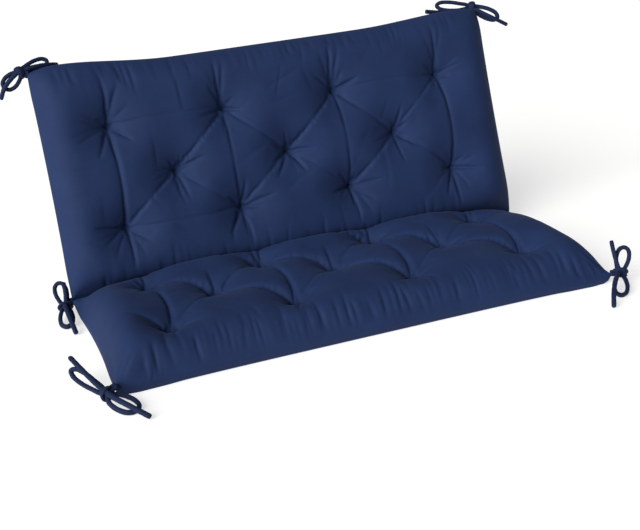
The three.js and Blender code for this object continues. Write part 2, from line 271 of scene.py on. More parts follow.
# Creases that run out from a tuft and die away: row and column, run across and along in mm, then bow, depth,
# width and side
freeCreases = {
    "seat": [
        ((0, 0), (6, -85), 0, 7, 6, 1), ((0, 1), (14, -90), 0, 7, 6, 1), ((0, 1), (-10, -85), 0, 4, 5, 0),
        ((0, 2), (12, -88), 0, 7, 6, 1), ((0, 2), (-14, -85), 0, 4, 5, 0), ((0, 3), (-8, -88), 0, 7, 6, -1),
        ((1, 0), (2, -95), 3, 6, 6, 1), ((1, 0), (72, -95), -6, 4, 6, 0), ((1, 1), (12, -100), 3, 6, 6, 1),
        ((1, 2), (-4, -98), 3, 6, 6, 1), ((2, 0), (46, 14), -6, 4, 7, 0), ((2, 0), (-9, 84), 0, 4, 6, 1),
        ((2, 1), (52, 14), -6, 4, 7, 0), ((2, 1), (14, 84), 0, 4, 6, 1), ((2, 1), (36, 76), 0, 3, 5, 0),
        ((2, 2), (52, 10), -6, 4, 7, 0), ((2, 2), (8, 86), 0, 4, 6, 1), ((2, 2), (34, 78), 0, 3.5, 5, 0),
        ((2, 2), (-30, 80), 0, 3, 5, 0), ((2, 3), (48, 8), -6, 3, 7, 0), ((2, 3), (10, 84), 0, 3.5, 6, 1),
        ((2, 3), (-32, 78), 0, 3, 5, 0), ((2, 3), (-46, 12), 6, 3, 7, 0),
    ],
    "back": [
        ((2, 0), (1, 134), 4, 8, 5, 1), ((2, 0), (14, 126), 0, 6, 4.5, 0),
        ((2, 0), (52, 118), -5, 7.5, 5, -1), ((2, 1), (-6, 136), -6, 8.5, 5, 1),
        ((2, 1), (18, 130), -8, 7, 5, 0), ((2, 1), (-34, 124), -4, 4, 5, 0),
        ((2, 2), (-32, 128), -4, 5, 5, 0), ((2, 2), (4, 136), -4, 8.5, 5, 1),
        ((2, 2), (32, 122), -6, 6, 5, 0), ((2, 3), (-38, 118), 4, 5, 5, 0), ((2, 3), (-4, 134), 3, 8, 5, 1),
        ((2, 3), (24, 126), -4, 4, 5, 0), ((0, 0), (-2, -112), -4, 5.5, 5.5, -1),
        ((0, 1), (6, -112), -5, 4, 5.5, -1), ((0, 1), (-48, -88), 5, 3, 6, 0),
        ((0, 2), (4, -112), -4, 4, 5.5, -1), ((0, 2), (42, -85), -5, 3, 6, 0),
        ((0, 3), (0, -112), 4, 5, 5.5, 1), ((0, 3), (36, -80), -4, 2.5, 6, 0),
        ((2, 0), (-74, -22), 4, 4, 10, 0), ((2, 0), (-62, 34), 0, 2.5, 10, 0),
        ((0, 0), (-72, -42), 4, 4, 9, 0), ((0, 0), (-50, -80), 3, 2.5, 7, 0),
        ((2, 3), (62, -14), -4, 3, 10, 0), ((2, 3), (62, 36), 0, 2.5, 10, 0),
        ((0, 3), (64, -30), -4, 3, 9, 0), ((1, 0), (4, -86), 8, 4, 5.5, 1),
        ((1, 0), (48, -30), 0, 2.5, 5, 0), ((1, 0), (-60, 8), 0, 2.5, 10, 0),
        ((1, 1), (62, -42), 3, 3, 5, 0), ((1, 1), (8, -64), 0, 2.5, 5, 0),
        ((1, 2), (8, -84), 5, 3.5, 5.5, 1), ((1, 2), (52, -16), 0, 2, 5, 0),
    ],
}
# Where one pillow laps over the next: the tuft the lap starts from, its run across and along, and its bow
pillowLaps = {
    "seat": [
        ((1, 0), (-138, -106), -20), ((1, 1), (-138, -106), -22), ((1, 2), (-130, -100), -20),
        ((2, 0), (-104, -70), -10), ((2, 1), (-138, -130), -26), ((2, 2), (-138, -130), -26),
        ((2, 3), (-138, -130), -24), ((0, 1), (-100, -46), -8), ((0, 2), (-100, -46), -8),
        ((0, 3), (-100, -46), -8),
    ],
    "back": [],
}
lapForm = {"deep": 11.0, "wide": 17.0, "side": -1}
# Gathers where the cover is eased into a seam: from and to across, where they start and how far they run
# along, mean spacing and depth, all in mm, and how much they come in bunches
gatherBands = {
    "seat": [(-540, 560, 486, -92, 11, 5.2, 0.5), (-550, 570, 14, 66, 24, 4.0, 0.6)],
    "back": [(-560, 575, 549, -90, 17, 4.6, 0.95), (-550, 570, 10, 100, 30, 2.4, 0.6)],
}
# Shares of those, and a gather's sideways drift, bow and width, and the two waves that bunch them
gatherForm = {
    "gap": (0.4, 1.6), "long": (0.45, 1.0), "deep": (0.2, 1.0),
    "drift": (-9, 9), "bow": (-2.5, 2.5), "wide": (3.6, 6.5), "bunches": (37, 61),
}
# Small rays round each tuft, and wrinkles anywhere inside margins from the middle, the fold and the end
shortRays = {"count": 9, "scatter": 0.4, "long": (24, 90), "deep": 8.5, "share": (0.25, 1), "wide": 3.6}
looseWrinkles = {
    "count": 44, "margins": (0.56, 0.04, 0.05),  # metres
    "long": (50, 170), "bow": (-8, 8), "deep": (0.5, 1.3), "wide": (6, 11),
}
stitchPull = {"ease": 0.5, "reach": 0.014}  # creases grow shallow again right at a tuft's stitch
# Section of a crease: reach of an even one and of a steep and a lee side, and the ridge on the steep side
creaseForm = {
    "deepen": 1.3, "narrow": 0.8,  # shares of the tables' depths and widths
    "even": 1.3, "steep": 0.6, "lee": 2.6,  # widths
    "ridge": 0.13,  # share of the depth
    "ridgeAt": 1.5, "ridgeWide": 0.8,  # widths
    "tip": 0.0016, "mostRidge": 0.006,  # metres
}


# Quarter circle: 0 at the seam, 1 from the reach on
def rounded(distance, reach):
    short = 1 - np.clip(distance / reach, 0, 1)
    return np.sqrt(1 - short * short)


# Bell: 1 at its place, 1 / e one width away
def bell(distance, rise):
    return np.exp(-((distance - rise[0]) / rise[1]) ** 2)


# Tuft places: columns spread evenly about the middle, rows at their distances from the fold
def tuftAt(panel, row, column):
    return (column - (cushionPad["rowCounts"][row] - 1) / 2) * cushionPad["tuftPitch"], panel["rowsAt"][row]


# All tufts of a panel, row by row
def tuftsOf(panel):
    counts = enumerate(cushionPad["rowCounts"])
    return [tuftAt(panel, row, column) for row, count in counts for column in range(count)]


# Distance to the nearest seam in the flat panel
def seamDistance(panel, across, along):
    return np.minimum(np.minimum(cushionPad["width"] / 2 - abs(across), panel["length"] - along), along)


# A crease: a cusp deep * exp(-s / reach) at distance s from a bowed line, with a long reach on its lee side
# and a short one on the side that stands up, where a ridge follows it; kept is its fading along the line
def creaseDip(across, along, start, stop, bow, deep, wide, side, kept):
    dx, dy = stop[0] - start[0], stop[1] - start[1]
    length = math.hypot(dx, dy)
    deep = creaseForm["deepen"] * deep * mm
    wide = creaseForm["narrow"] * wide * mm
    share = ((across - start[0]) * dx + (along - start[1]) * dy) / length ** 2
    part = np.clip(share, 0, 1)
    off = ((across - start[0]) * dy - (along - start[1]) * dx) / length - bow * mm * 4 * part * (1 - part)
    past = (share - part) * length
    fade = kept(part) * np.exp(-(past / wide) ** 2)
    away = np.sqrt(off * off + creaseForm["tip"] ** 2) - creaseForm["tip"]
    if not side:
        return deep * fade * np.exp(-away / (creaseForm["even"] * wide))
    reach = np.where(off * side > 0, creaseForm["steep"] * wide, creaseForm["lee"] * wide)
    ridge = np.exp(-((off * side - creaseForm["ridgeAt"] * wide) / (creaseForm["ridgeWide"] * wide)) ** 2)
    return deep * fade * (np.exp(-away / reach) - creaseForm["ridge"] * ridge)


# Creases, rays, gathers and wrinkles of a panel as lines: start, stop, bow, depth, width, side and how they
# fade. Between two tufts they are shallower halfway, from one tuft they die away, and others swell and end
# in nothing
def creaseLines(panel):
    dice = np.random.default_rng(panel["seed"])
    between = lambda part: 0.55 + 0.45 * abs(2 * part - 1) ** 1.5
    dying = lambda part: (1 - part) ** 0.7
    swell = lambda part: np.sin(math.pi * part ** 0.7)
    lapSection = lapForm["deep"], lapForm["wide"], lapForm["side"]
    lines, laps = [], []
    for start, stop, *form in tuftCreases[panel["name"]]:
        lines.append((tuftAt(panel, *start), tuftAt(panel, *stop), *form, between))
    for start, run, *form in freeCreases[panel["name"]]:
        x, y = tuftAt(panel, *start)
        lines.append(((x, y), (x + run[0] * mm, y + run[1] * mm), *form, dying))
    for start, run, bow in pillowLaps[panel["name"]]:
        x, y = tuftAt(panel, *start)
        laps.append(((x, y), (x + run[0] * mm, y + run[1] * mm), bow, *lapSection, dying))
    for x, y in tuftsOf(panel):
        first = dice.uniform(0, 2 * math.pi)
        for k in range(shortRays["count"]):
            scatter = dice.uniform(-shortRays["scatter"], shortRays["scatter"])
            turn = first + (k + scatter) * 2 * math.pi / shortRays["count"]
            long = dice.uniform(*shortRays["long"]) * mm
            deep = shortRays["deep"] * dice.uniform(*shortRays["share"])
            stop = (x + long * math.cos(turn), y + long * math.sin(turn))
            lines.append(((x, y), stop, 0, deep, shortRays["wide"], 0, dying))
    for low, high, first, run, gap, most, bunch in gatherBands[panel["name"]]:
        x = low
        while x < high:
            x += gap * dice.uniform(*gatherForm["gap"])
            waves = math.sin(x / gatherForm["bunches"][0]) * math.sin(x / gatherForm["bunches"][1] + 1)
            thick = 1 - bunch * (0.5 - 0.5 * waves)
            far = run * dice.uniform(*gatherForm["long"])
            stop = ((x + dice.uniform(*gatherForm["drift"])) * mm, (first + far) * mm)
            bow = dice.uniform(*gatherForm["bow"])
            deep = most * thick * dice.uniform(*gatherForm["deep"])
            wide = dice.uniform(*gatherForm["wide"])
            lines.append(((x * mm, first * mm), stop, bow, deep, wide, dice.choice([-1, 0, 1]), swell))
    sideways, nearFold, nearEnd = looseWrinkles["margins"]
    for k in range(looseWrinkles["count"]):
        x = dice.uniform(-sideways, sideways)
        y = dice.uniform(nearFold, panel["length"] - nearEnd)
        turn = dice.uniform(0, math.pi)
        long = dice.uniform(*looseWrinkles["long"]) * mm
        stop = (x + long * math.cos(turn), y + long * math.sin(turn))
        bow, deep, wide = (dice.uniform(*looseWrinkles[key]) for key in ("bow", "deep", "wide"))
        lines.append(((x, y), stop, bow, deep, wide, dice.choice([-1, 0, 1]), swell))
    return lines, laps


# Depth of all lines together: dips that cross are joined by the cube root of their summed cubes, so that
# many lines meeting at a tuft stay about as deep as the deepest, and ridges and laps are added
def creaseDepth(panel, across, along):
    lines, laps = creaseLines(panel)
    cubes, ridges, lapped = (np.zeros_like(across) for k in range(3))
    for line in lines:
        dip = creaseDip(across, along, *line)
        cubes += np.maximum(dip, 0) ** 3
        ridges += np.minimum(dip, 0)
    for lap in laps:
        lapped += creaseDip(across, along, *lap)
    dips = np.cbrt(cubes)
    for x, y in tuftsOf(panel):
        square = (across - x) ** 2 + (along - y) ** 2
        dips *= 1 - stitchPull["ease"] * np.exp(-square / stitchPull["reach"] ** 2)
    return lapped + dips + np.maximum(ridges, -creaseForm["mostRidge"])


# Height over the seam plane: a rounded crown, fuller in a bell beside the fold and the sides, limited by
# the half angle in the fold, with a dish (1 - r / w) squared at each tuft
def topHeight(panel, across, along):
    sideIn = cushionPad["width"] / 2 - abs(across)
    endIn = panel["length"] - along
    crown = panel["crown"] + panel["rearPuff"] * bell(along, cushionPad["foldRise"])
    crown = crown + panel["sidePuff"] * bell(sideIn, cushionPad["sideRise"])
    base = crown * rounded(sideIn, panel["edgeRound"]) * rounded(endIn, panel["endRound"])
    press = math.tan((math.pi / 2 + cushionPad["lean"]) / 2) * along * cushionPad["foldPress"]
    base = press * base / np.maximum((press ** 4 + base ** 4) ** 0.25, 1e-9)
    share, reach, inward = (np.where(across < 0, *pair) for pair in zip(*panel["thinned"]))
    base = base * (1 - share * np.exp(-(along / reach) ** 2 - (sideIn / inward) ** 2))
    low = np.minimum(base, panel["tuftTop"])
    share = np.ones_like(base)
    for x, y in tuftsOf(panel):
        share *= 1 - np.maximum(0, 1 - np.hypot(across - x, along - y) / panel["tuftWide"]) ** 2
    return low + (base - low) * share


# Depth of the other face: level inside, rounded at the seams, drawn up by (1 - r / w) squared at each tuft
def underDepth(panel, across, along):
    depth = panel["under"] * rounded(seamDistance(panel, across, along), panel["underRound"])
    for x, y in tuftsOf(panel):
        near = np.maximum(0, 1 - np.hypot(across - x, along - y) / panel["tuftUnderWide"])
        depth -= panel["tuftUnder"] * near * near
    return depth


# Panel coordinates to the part's frame: edges drawn in by a parabola between the corners, full corners at
# the back's top, a front seam that droops and sags most beside its corners, seat level, back leaning
def placePanel(panel, across, along, height):
    half = cushionPad["width"] / 2
    sideNear = abs(across) / half
    endNear = along / panel["length"]
    cornerNear = sideNear * endNear
    x = across - np.sign(across) * panel["sideDraw"] * 4 * endNear * (1 - endNear) * sideNear ** 4
    near = np.clip((sideNear - cushionPad["shoulderFrom"]) / cushionPad["shoulderOver"], 0, 1)
    lift = np.where(across < 0, *panel["shoulders"]) * near * near * (3 - 2 * near) * (1 - sideNear ** 16)
    run = along + (lift - panel["endDraw"] * (1 - sideNear ** 4)) * endNear ** 6
    edgeIn = np.minimum(half - abs(across), panel["length"] - along)
    nearEdge = np.maximum(0, 1 - edgeIn / cushionPad["droopIn"])
    between = (1 - cornerNear ** 16) * np.minimum(1, along / cushionPad["droopIn"])
    droop = panel["seamDroop"] + panel["cornerSag"] * cornerNear ** 8
    lifted = height - droop * nearEdge ** 2 * between
    if panel is seatPanel:
        return np.stack([x, -run + foldY, np.maximum(0, seamHeight + lifted)], -1)
    sine, cosine = math.sin(cushionPad["lean"]), math.cos(cushionPad["lean"])
    return np.stack([x, run * sine - lifted * cosine + foldY, seamHeight + run * cosine + lifted * sine], -1)


# Even steps between stops, in whole groups of lines that the underside keeps
def evenSteps(stops, cell):
    skip = cushionPad["underSkip"]
    counts = [skip * max(1, round(abs(b - a) / cell / skip)) for a, b in zip(stops, stops[1:])]
    return np.concatenate([np.linspace(a, b, n, endpoint=False) for a, b, n in zip(stops, stops[1:], counts)])


# Steps round an edge: equal angles of its quarter round, reach * (1 - cos angle), on an arc about 1.5
# reaches long
def edgeRun(reach, cell):
    skip = cushionPad["underSkip"]
    count = skip * round(reach * 1.5 / cell / skip)
    return reach * (1 - np.cos(np.linspace(0, math.pi / 2, count, endpoint=False)))


# Grid lines across: round one side, then even steps over the tufts' columns to the middle, mirrored
def acrossLines(cell):
    half = cushionPad["width"] / 2
    edge = edgeRun(seatPanel["edgeRound"], cell)
    columns = [k * cushionPad["tuftPitch"] for k in (1.5, 1, 0.5, 0)]
    right = np.concatenate([half - edge, evenSteps([half - seatPanel["edgeRound"]] + columns, cell)])
    return np.concatenate([-right, [0.0], right[::-1]])


# Grid lines along: finer beside the fold, then even steps over the tufts' rows, then round the end
def alongLines(panel, cell):
    band = cushionPad["foldBand"]
    near = evenSteps([0, band], cell * cushionPad["foldFiner"])
    flat = panel["length"] - panel["edgeRound"]
    inner = evenSteps([band] + list(panel["rowsAt"]) + [flat], cell)
    edge = panel["length"] - edgeRun(panel["edgeRound"], cell)
    return np.concatenate([near, inner, [flat], edge[::-1]])


# Outward direction at each grid point: cross product of the central differences
def gridNormals(spots):
    normal = np.cross(np.gradient(spots, axis=1), np.gradient(spots, axis=0))
    return normal / np.maximum(np.linalg.norm(normal, axis=-1, keepdims=True), 1e-9)


# Both faces of a pad on one grid: rows run up the cover, so from the seat's front edge to the fold, or from
# the fold up. The top then goes in along its normals by the swell to come and the creases
def padGrids(panel):
    columns = acrossLines(cushionPad["cell"])
    rows = alongLines(panel, cushionPad["cell"])[::-1 if panel is seatPanel else 1]
    along, across = np.meshgrid(rows, columns, indexing="ij")
    edge = np.zeros(along.shape, dtype=bool)
    edge[[0, -1]] = edge[:, [0, -1]] = True
    faces = []
    for height in (topHeight(panel, across, along), -underDepth(panel, across, along)):
        faces.append(placePanel(panel, across, along, np.where(edge, 0, height)))
    seamIn = seamDistance(panel, across, along)
    inset = cushionPad["swell"] * np.minimum(1, seamIn / cushionPad["swellIn"])
    inset = inset + creaseDepth(panel, across, along) * np.minimum(1, seamIn / cushionPad["creaseIn"])
    faces[0] -= gridNormals(faces[0]) * inset[..., None]
    held = edge.copy()
    for x, y in tuftsOf(panel):
        held[np.argmin(abs(rows - y)), np.argmin(abs(columns - x))] = True
    return faces, held


# Cloth settling: the creased cover is let out a little and filled. Pressure pushes along the normals,
# threads pull each pair of grid points back to the cloth's own spacing, and longer skips resist bending
coverSettling = {
    "ease": 1.012,  # cloth length over the length it first spans
    "push": 0.00005,  # metres a round
    "drag": 0.85,
    "shear": 0.4,
    "bend": 0.05,
    "rounds": 30,
    "foldGap": 0.0008,  # seat and back each keep this far from the fold's middle plane
    "mostMove": 0.010,
    "smooth": 3,
    "smoothShare": 0.35,
}


# Pull pairs toward their rest length: each end moves half of the difference
def pullPairs(spots, first, second, rest, stiff, onlyShort):
    gap = spots[second] - spots[first]
    span = np.sqrt(np.einsum("...k,...k->...", gap, gap)) + 1e-9
    share = (1 - rest / span) * (0.5 * stiff)
    if onlyShort:
        share = np.minimum(share, 0)
    gap *= share[..., None]
    spots[first] += gap
    spots[second] -= gap


# Groups of grid pairs that share no point, with their rest lengths in the flat cloth: threads both ways,
# slanted pairs against shear, and every second point against bending
def threadPairs(restAcross, restAlong, settings):
    pairs = []
    whole = slice(None)
    rows, columns = restAlong.shape[0] + 1, restAcross.shape[1] + 1
    for odd in (0, 1):
        ends = (slice(odd, columns - 1, 2), slice(odd + 1, columns, 2))
        pairs.append(((whole, ends[0]), (whole, ends[1]), restAcross[:, ends[0]], 1.0, False))
        ends = (slice(odd, rows - 1, 2), slice(odd + 1, rows, 2))
        pairs.append(((ends[0], whole), (ends[1], whole), restAlong[ends[0]], 1.0, False))
    slanted = np.hypot((restAcross[1:] + restAcross[:-1]) / 2, (restAlong[:, 1:] + restAlong[:, :-1]) / 2)
    left, right = slice(0, -1), slice(1, None)
    for odd in (0, 1):
        lower, upper = slice(odd, rows - 1, 2), slice(odd + 1, rows, 2)
        pairs.append(((lower, left), (upper, right), slanted[lower], settings["shear"], False))
        pairs.append(((lower, right), (upper, left), slanted[lower], settings["shear"], False))
    twoAcross = restAcross[:, 1:] + restAcross[:, :-1]
    twoAlong = restAlong[1:] + restAlong[:-1]
    for odd in range(4):
        ends = (slice(odd, columns - 2, 4), slice(odd + 2, columns, 4))
        pairs.append(((whole, ends[0]), (whole, ends[1]), twoAcross[:, ends[0]], settings["bend"], True))
        ends = (slice(odd, rows - 2, 4), slice(odd + 2, rows, 4))
        pairs.append(((ends[0], whole), (ends[1], whole), twoAlong[ends[0]], settings["bend"], True))
    return pairs


# Rounds of pressing and pulling, with the seams and tufts held; seat and back press against each other
# along the middle plane of the fold, and the floor is in the way. Each point then moves toward the mean of
# its neighbours
def settleCover(panel, base, held, settings):
    restAcross = np.linalg.norm(np.diff(base, axis=1), axis=-1) * settings["ease"]
    restAlong = np.linalg.norm(np.diff(base, axis=0), axis=-1) * settings["ease"]
    pairs = threadPairs(restAcross, restAlong, settings)
    half = math.pi / 4 - cushionPad["lean"] / 2
    toBack = np.array([0, math.cos(half), math.sin(half)])
    gap = settings["foldGap"]
    spots, before = base.copy(), base.copy()
    for turn in range(settings["rounds"]):
        moved = spots + (spots - before) * settings["drag"] + gridNormals(spots) * settings["push"]
        before = spots
        spots = moved
        for pair in pairs:
            pullPairs(spots, *pair)
        depth = (spots - foldLine) @ toBack
        over = np.maximum(0, depth + gap) if panel is seatPanel else np.minimum(0, depth - gap)
        spots -= over[..., None] * toBack
        spots[..., 2] = np.maximum(spots[..., 2], 0)
        spots[held] = base[held]
    move = spots - base
    far = np.linalg.norm(move, axis=-1, keepdims=True)
    spots = base + move * np.minimum(1, settings["mostMove"] / np.maximum(far, 1e-9))
    inside = held[1:-1, 1:-1, None]
    for turn in range(settings["smooth"]):
        near = (spots[:-2, 1:-1] + spots[2:, 1:-1] + spots[1:-1, :-2] + spots[1:-1, 2:]) / 4
        spots[1:-1, 1:-1] += np.where(inside, 0, settings["smoothShare"] * (near - spots[1:-1, 1:-1]))
    return spots


# Faces of a grid of point numbers, each cell's corners in turn
def quadsOf(index):
    return np.stack([index[:-1, :-1], index[:-1, 1:], index[1:, 1:], index[1:, :-1]], -1).reshape(-1, 4)


# Close the two faces along the shared side seam: the top keeps every grid line, the underside every fourth.
# Round the seam each step makes a triangle with the nearest inner point of the underside, and one more
# where that changes
def closePad(top, under):
    skip = cushionPad["underSkip"]
    rows, columns = top.shape[:2]
    topIndex = np.arange(rows * columns).reshape(rows, columns)
    kept = topIndex[::skip, ::skip].copy()
    kept[1:-1, 1:-1] = rows * columns + np.arange(kept[1:-1, 1:-1].size).reshape(kept[1:-1, 1:-1].shape)
    coarse = under[::skip, ::skip][1:-1, 1:-1]
    points = np.concatenate([top.reshape(-1, 3), coarse.reshape(-1, 3)])
    run = np.concatenate([[0], np.cumsum(np.linalg.norm(np.diff(top, axis=0), axis=-1).mean(1))])
    wide = np.concatenate([[0], np.cumsum(np.linalg.norm(np.diff(top, axis=1), axis=-1).mean(0))])
    flat = np.stack(np.meshgrid(wide, run), -1)
    flatAll = np.concatenate([flat.reshape(-1, 2), flat[::skip, ::skip][1:-1, 1:-1].reshape(-1, 2)])
    up, over = np.arange(rows - 1), np.arange(columns - 1)
    row = np.concatenate([0 * over, up, 0 * over + rows - 1, up[::-1] + 1])
    column = np.concatenate([over, 0 * up + columns - 1, over[::-1] + 1, 0 * up])
    halfway = lambda place: np.rint((place + np.roll(place, -1)) / 2 / skip).astype(int)
    innerRow = np.clip(halfway(row), 1, kept.shape[0] - 2)
    innerColumn = np.clip(halfway(column), 1, kept.shape[1] - 2)
    seam, inner = topIndex[row, column], kept[innerRow, innerColumn]
    nextSeam, nextInner = np.roll(seam, -1), np.roll(inner, -1)
    fans = np.stack([nextSeam, seam, inner], -1)
    bridges = np.stack([nextSeam, inner, nextInner], -1)[inner != nextInner]
    faces = [quadsOf(topIndex), quadsOf(kept[1:-1, 1:-1])[:, ::-1], fans, bridges]
    return points, [face for group in faces for face in group.tolist()], flatAll


for panel in (seatPanel, backPanel):
    (top, under), held = padGrids(panel)
    top = settleCover(panel, top, held, coverSettling)
    ring = np.arange(held.size).reshape(held.shape)
    seam = np.concatenate([ring[0], ring[-1], ring[:, 0], ring[:, -1]])
    pad = meshPiece(panel["name"] + "_pad", *closePad(top, under), coverMaterial, "cover_cloth", seam)
    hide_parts("cushion")
    print(panel["name"], "pad settled:", len(pad.data.polygons), "faces")


# Ties, in metres from the corner each is sewn into: where its knot stands, and for each of its two strands
# the far point of the loop, the loop's width, the way it faces, the free end and how far that bows
# sideways; over is -1 where the free end passes behind its loop
outwardView = (-0.31, -0.87, 0.38)
upward = (0, 0, 1)
bowTies = [
    {"node": "tie_top_left", "side": -1, "at": "top", "knot": (-.013, .008, .007), "strands": [
        {"loop": (-.056, .009, -.026), "wide": .032, "faces": outwardView,
         "end": (-.069, .004, -.050), "bow": 0.3},
        {"loop": (.055, .033, .020), "wide": .024, "faces": outwardView,
         "end": (.079, .032, .007), "bow": -0.2}]},
    {"node": "tie_top_right", "side": 1, "at": "top", "knot": (-.002, .012, .007), "strands": [
        {"loop": (-.091, .042, .018), "wide": .022, "faces": outwardView,
         "end": (-.121, .048, .005), "bow": -0.3, "over": -1},
        {"loop": (.057, -.026, -.022), "wide": .026, "faces": outwardView,
         "end": (.078, -.040, -.042), "bow": 0.2}]},
    {"node": "tie_fold_left", "side": -1, "at": "fold", "knot": (-.018, -.001, -.009), "strands": [
        {"loop": (-.024, .024, .042), "wide": .028, "faces": outwardView,
         "end": (-.012, .024, .040), "bow": 0.4},
        {"loop": (-.032, -.096, -.022), "wide": .030, "faces": upward,
         "end": (-.020, -.142, -.022), "bow": 0.2}]},
    {"node": "tie_front_left", "side": -1, "at": "front", "knot": (-.022, -.005, -.009), "strands": [
        {"loop": (-.074, .092, .012), "wide": .022, "faces": outwardView,
         "end": (-.068, .124, .027), "bow": 0.15},
        {"loop": (.022, -.083, -.022), "wide": .047, "faces": upward,
         "end": (.042, -.122, -.022), "bow": 0.52}]},
    {"node": "tie_front_right", "side": 1, "at": "front", "knot": (.018, -.008, -.002), "strands": [
        {"loop": (.040, .010, .053), "wide": .030, "faces": outwardView,
         "end": (.013, .024, .069), "bow": -0.3},
        {"loop": (-.026, -.080, -.022), "wide": .030, "faces": upward,
         "end": (-.076, -.124, -.022), "bow": 0.3}]},
]
tieTube = {
    "wide": 0.0118,
    "thick": 0.0102,
    "knotWide": 0.026,
    "sewnIn": 0.003,  # the root reaches this far into the corner
    "apart": 0.0035,  # each strand's root lies this far from the middle of the pair
    "sections": 120,
    "sides": 20,
    "swell": 0.02,  # shares of the tube's size
    "swells": (17, 41),  # slow waves along the whole tube
    "pucker": 0.035,
    "puckers": 190,  # radians along the whole tube
    "seamAt": 0.6,  # radians round the tube
    "endSize": 0.86,
}
knotWrap = {
    "turns": 1.2,
    "sections": 44,
    "radius": 0.0108,
    "grows": 0.0014,
    "climbs": 0.005,
    "wide": 0.0175,
    "thick": 0.0078,
    "clothSize": (0.07, 0.0095),  # length and width its cloth is drawn for
    "seed": 0.4,
}


# The plain corner of the panel, before its edges are drawn in or lifted
def cornerOf(tie):
    side = tie["side"] * cushionPad["width"] / 2
    run = {"fold": 0.0, "top": backPanel["length"], "front": seatPanel["length"]}[tie["at"]]
    lean = cushionPad["lean"]
    if tie["at"] == "top":
        return np.array([side, foldY + run * math.sin(lean), seamHeight + run * math.cos(lean)])
    return np.array([side, foldY - run, seamHeight])


# Catmull-Rom curve through points, each span shared by its chord's square root, then spaced evenly along
# its length
def smoothRoute(points, count):
    points = np.asarray(points, dtype=float)
    ends = np.concatenate([[2 * points[0] - points[1]], points, [2 * points[-1] - points[-2]]])
    knots = np.concatenate([[0], np.cumsum(np.sqrt(np.linalg.norm(np.diff(ends, axis=0), axis=1)))])
    u = np.linspace(knots[1], knots[-2], 10 * count)
    k = np.clip(np.searchsorted(knots, u, side="right") - 1, 1, len(ends) - 3)
    p = [ends[k + s] for s in (-1, 0, 1, 2)]
    t = [knots[k + s] for s in (-1, 0, 1, 2)]
    share = lambda ta, tb: ((u - ta) / (tb - ta))[:, None]
    mix = lambda a, b, ta, tb: (1 - share(ta, tb)) * a + share(ta, tb) * b
    a1, a2, a3 = (mix(p[s], p[s + 1], t[s], t[s + 1]) for s in range(3))
    b1, b2 = mix(a1, a2, t[0], t[2]), mix(a2, a3, t[1], t[3])
    route = mix(b1, b2, t[1], t[2])
    length = np.concatenate([[0], np.cumsum(np.linalg.norm(np.diff(route, axis=0), axis=1))])
    even = np.linspace(0, length[-1], count)
    return np.stack([np.interp(even, length, route[:, k]) for k in range(3)], -1), length[-1]


# Route of a strand: root, knot, round the loop, back through the knot and out to the free end
def strandRoute(tie, strand, lay):
    corner, knot = cornerOf(tie), np.array(tie["knot"])
    faces = np.array(strand["faces"])
    reach = np.array(strand["loop"]) - knot
    sideways = np.cross(reach, faces)
    sideways *= strand["wide"] / 2 / np.linalg.norm(sideways)
    end = np.array(strand["end"])
    tail = end - knot
    start = tieTube["knotWide"] / strand["wide"] / 2
    onLoop = lambda share, spread: knot + reach * share + sideways * spread
    root = knot / np.linalg.norm(knot) * -tieTube["sewnIn"]
    beside = np.cross(knot, faces)
    beside *= lay * tieTube["apart"] / np.linalg.norm(beside)
    bowed = sideways * strand["bow"]
    clear = faces / np.linalg.norm(faces) * strand.get("over", 1) * tieTube["wide"]
    spots = [
        root + beside, root * 0.5 + knot * 0.5 + beside, knot + beside * 0.5,
        onLoop(0.14, start), onLoop(0.3, 0.75), onLoop(0.65, 1), onLoop(0.92, 0.7), onLoop(1, 0),
        onLoop(0.9, -0.7), onLoop(0.62, -1), onLoop(0.28, -0.75), onLoop(0.12, -start),
        knot + clear * 0.4, knot + tail * 0.3 + bowed + clear, knot + tail * 0.7 + bowed + clear, end,
    ]
    return smoothRoute([spot + corner for spot in spots], tieTube["sections"])


# Route of the wrap round a knot: a little more than a turn about the line between the loops, widening and
# climbing
def wrapRoute(tie):
    reachA, reachB = (np.array(strand["loop"]) - tie["knot"] for strand in tie["strands"])
    waist = reachA / np.linalg.norm(reachA) - reachB / np.linalg.norm(reachB)
    waist /= np.linalg.norm(waist)
    first = np.cross(waist, outwardView)
    first /= np.linalg.norm(first)
    second = np.cross(waist, first)
    share = np.linspace(0, 1, knotWrap["sections"])[:, None]
    turn = 2 * math.pi * knotWrap["turns"] * share
    radius = knotWrap["radius"] + knotWrap["grows"] * share
    around = radius * (np.cos(turn) * first + np.sin(turn) * second)
    return cornerOf(tie) + tie["knot"] + around + waist * ((share - 0.5) * knotWrap["climbs"])


